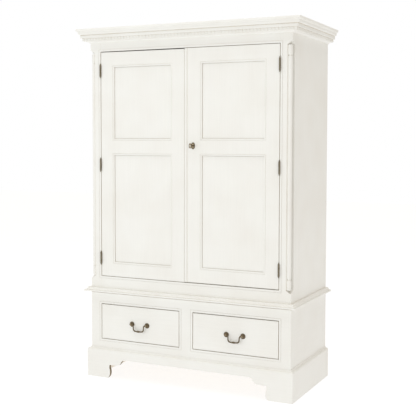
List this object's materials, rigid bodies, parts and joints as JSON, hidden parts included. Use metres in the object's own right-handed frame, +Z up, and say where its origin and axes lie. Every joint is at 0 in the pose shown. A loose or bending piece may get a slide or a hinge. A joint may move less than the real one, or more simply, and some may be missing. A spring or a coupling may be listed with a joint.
{
  "type": "armoire",
  "caption": "Painted armoire with panelled doors over drawers, dentil cornice, round corner columns and bracket feet.",
  "frame": {"origin": "on the floor, in the middle of the whole outline, cornice included", "axes": "+Z up, the front faces -Y, +X is the right-hand side seen from the front"},
  "size_m": [1.356, 0.637, 2],
  "materials": {
    "painted_wood": "satin off-white paint",
    "bare_wood": "sanded, unpainted",
    "antique_brass": "aged brown brass",
    "plated_steel": "plated, lightly brushed"
  },
  "bodies": {
    "case": {"upper_side_left": "painted_wood", "upper_side_right": "painted_wood", "corner_post_left": "painted_wood", "corner_post_right": "painted_wood", "corner_column_left": "painted_wood", "corner_column_right": "painted_wood", "frieze_rail": "painted_wood", "rail_below_doors": "painted_wood", "roof_board": "painted_wood", "floor_board": "painted_wood", "upper_back_board": "painted_wood", "cornice": "painted_wood", "waist_board": "painted_wood", "base_side_left": "painted_wood", "base_side_right": "painted_wood", "base_back_board": "painted_wood", "base_face_frame": "painted_wood", "plinth": "painted_wood", "drawer_deck": "bare_wood", "hanging_rail": "plated_steel", "left_top_hinge_frame_leaf": "antique_brass", "left_middle_hinge_frame_leaf": "antique_brass", "left_bottom_hinge_frame_leaf": "antique_brass", "right_top_hinge_frame_leaf": "antique_brass", "right_middle_hinge_frame_leaf": "antique_brass", "right_bottom_hinge_frame_leaf": "antique_brass"},
    "left_door": {"left_door_hinge_stile": "painted_wood", "left_door_top_rail": "painted_wood", "left_door_mid_rail": "painted_wood", "left_door_bottom_rail": "painted_wood", "left_door_meeting_stile": "painted_wood", "left_door_upper_panel": "painted_wood", "left_door_lower_panel": "painted_wood", "left_top_hinge_door_leaf": "antique_brass", "left_middle_hinge_door_leaf": "antique_brass", "left_bottom_hinge_door_leaf": "antique_brass"},
    "right_door": {"right_door_hinge_stile": "painted_wood", "right_door_top_rail": "painted_wood", "right_door_mid_rail": "painted_wood", "right_door_bottom_rail": "painted_wood", "right_door_meeting_stile": "painted_wood", "right_door_upper_panel": "painted_wood", "right_door_lower_panel": "painted_wood", "right_top_hinge_door_leaf": "antique_brass", "right_middle_hinge_door_leaf": "antique_brass", "right_bottom_hinge_door_leaf": "antique_brass", "key_escutcheon": "antique_brass", "lock_case": "antique_brass"},
    "key": {"door_key": "antique_brass"},
    "bolt": {"lock_bolt": "plated_steel"},
    "left_drawer": {"left_drawer_front": "painted_wood", "left_drawer_box": "bare_wood", "left_handle_inner_rose": "antique_brass", "left_handle_outer_rose": "antique_brass"},
    "left_bail": {"left_handle_bail": "antique_brass"},
    "right_drawer": {"right_drawer_front": "painted_wood", "right_drawer_box": "bare_wood", "right_handle_inner_rose": "antique_brass", "right_handle_outer_rose": "antique_brass"},
    "right_bail": {"right_handle_bail": "antique_brass"}
  },
  "joints": [
    {"name": "left_door_swing", "type": "hinge", "parent": "case", "child": "left_door", "pos_m": [-0.548, -0.2635, 1.23], "axis": [0, 0, -1], "range_deg": [0, 170]},
    {"name": "right_door_swing", "type": "hinge", "parent": "case", "child": "right_door", "pos_m": [0.548, -0.2635, 1.23], "axis": [0, 0, 1], "range_deg": [0, 170]},
    {"name": "key_turn", "type": "hinge", "parent": "right_door", "child": "key", "pos_m": [0.0435, -0.2575, 1.3405], "axis": [0, -1, 0], "range_deg": [0, 180]},
    {"name": "lock_bolt_slide", "type": "slide", "parent": "right_door", "child": "bolt", "axis": [-1, 0, 0], "range_m": [0, 0.012]},
    {"name": "left_drawer_slide", "type": "slide", "parent": "case", "child": "left_drawer", "axis": [0, -1, 0], "range_m": [0, 0.38]},
    {"name": "left_bail_swing", "type": "hinge", "parent": "left_drawer", "child": "left_bail", "pos_m": [-0.2955, -0.2717, 0.324], "axis": [-1, 0, 0], "range_deg": [0, 100]},
    {"name": "right_drawer_slide", "type": "slide", "parent": "case", "child": "right_drawer", "axis": [0, -1, 0], "range_m": [0, 0.38]},
    {"name": "right_bail_swing", "type": "hinge", "parent": "right_drawer", "child": "right_bail", "pos_m": [0.2955, -0.2717, 0.324], "axis": [-1, 0, 0], "range_deg": [0, 100]}
  ],
  "couplings": [
    {"joint": "key_turn", "follows": "lock_bolt_slide", "rad_per_m": 261.79}
  ]
}
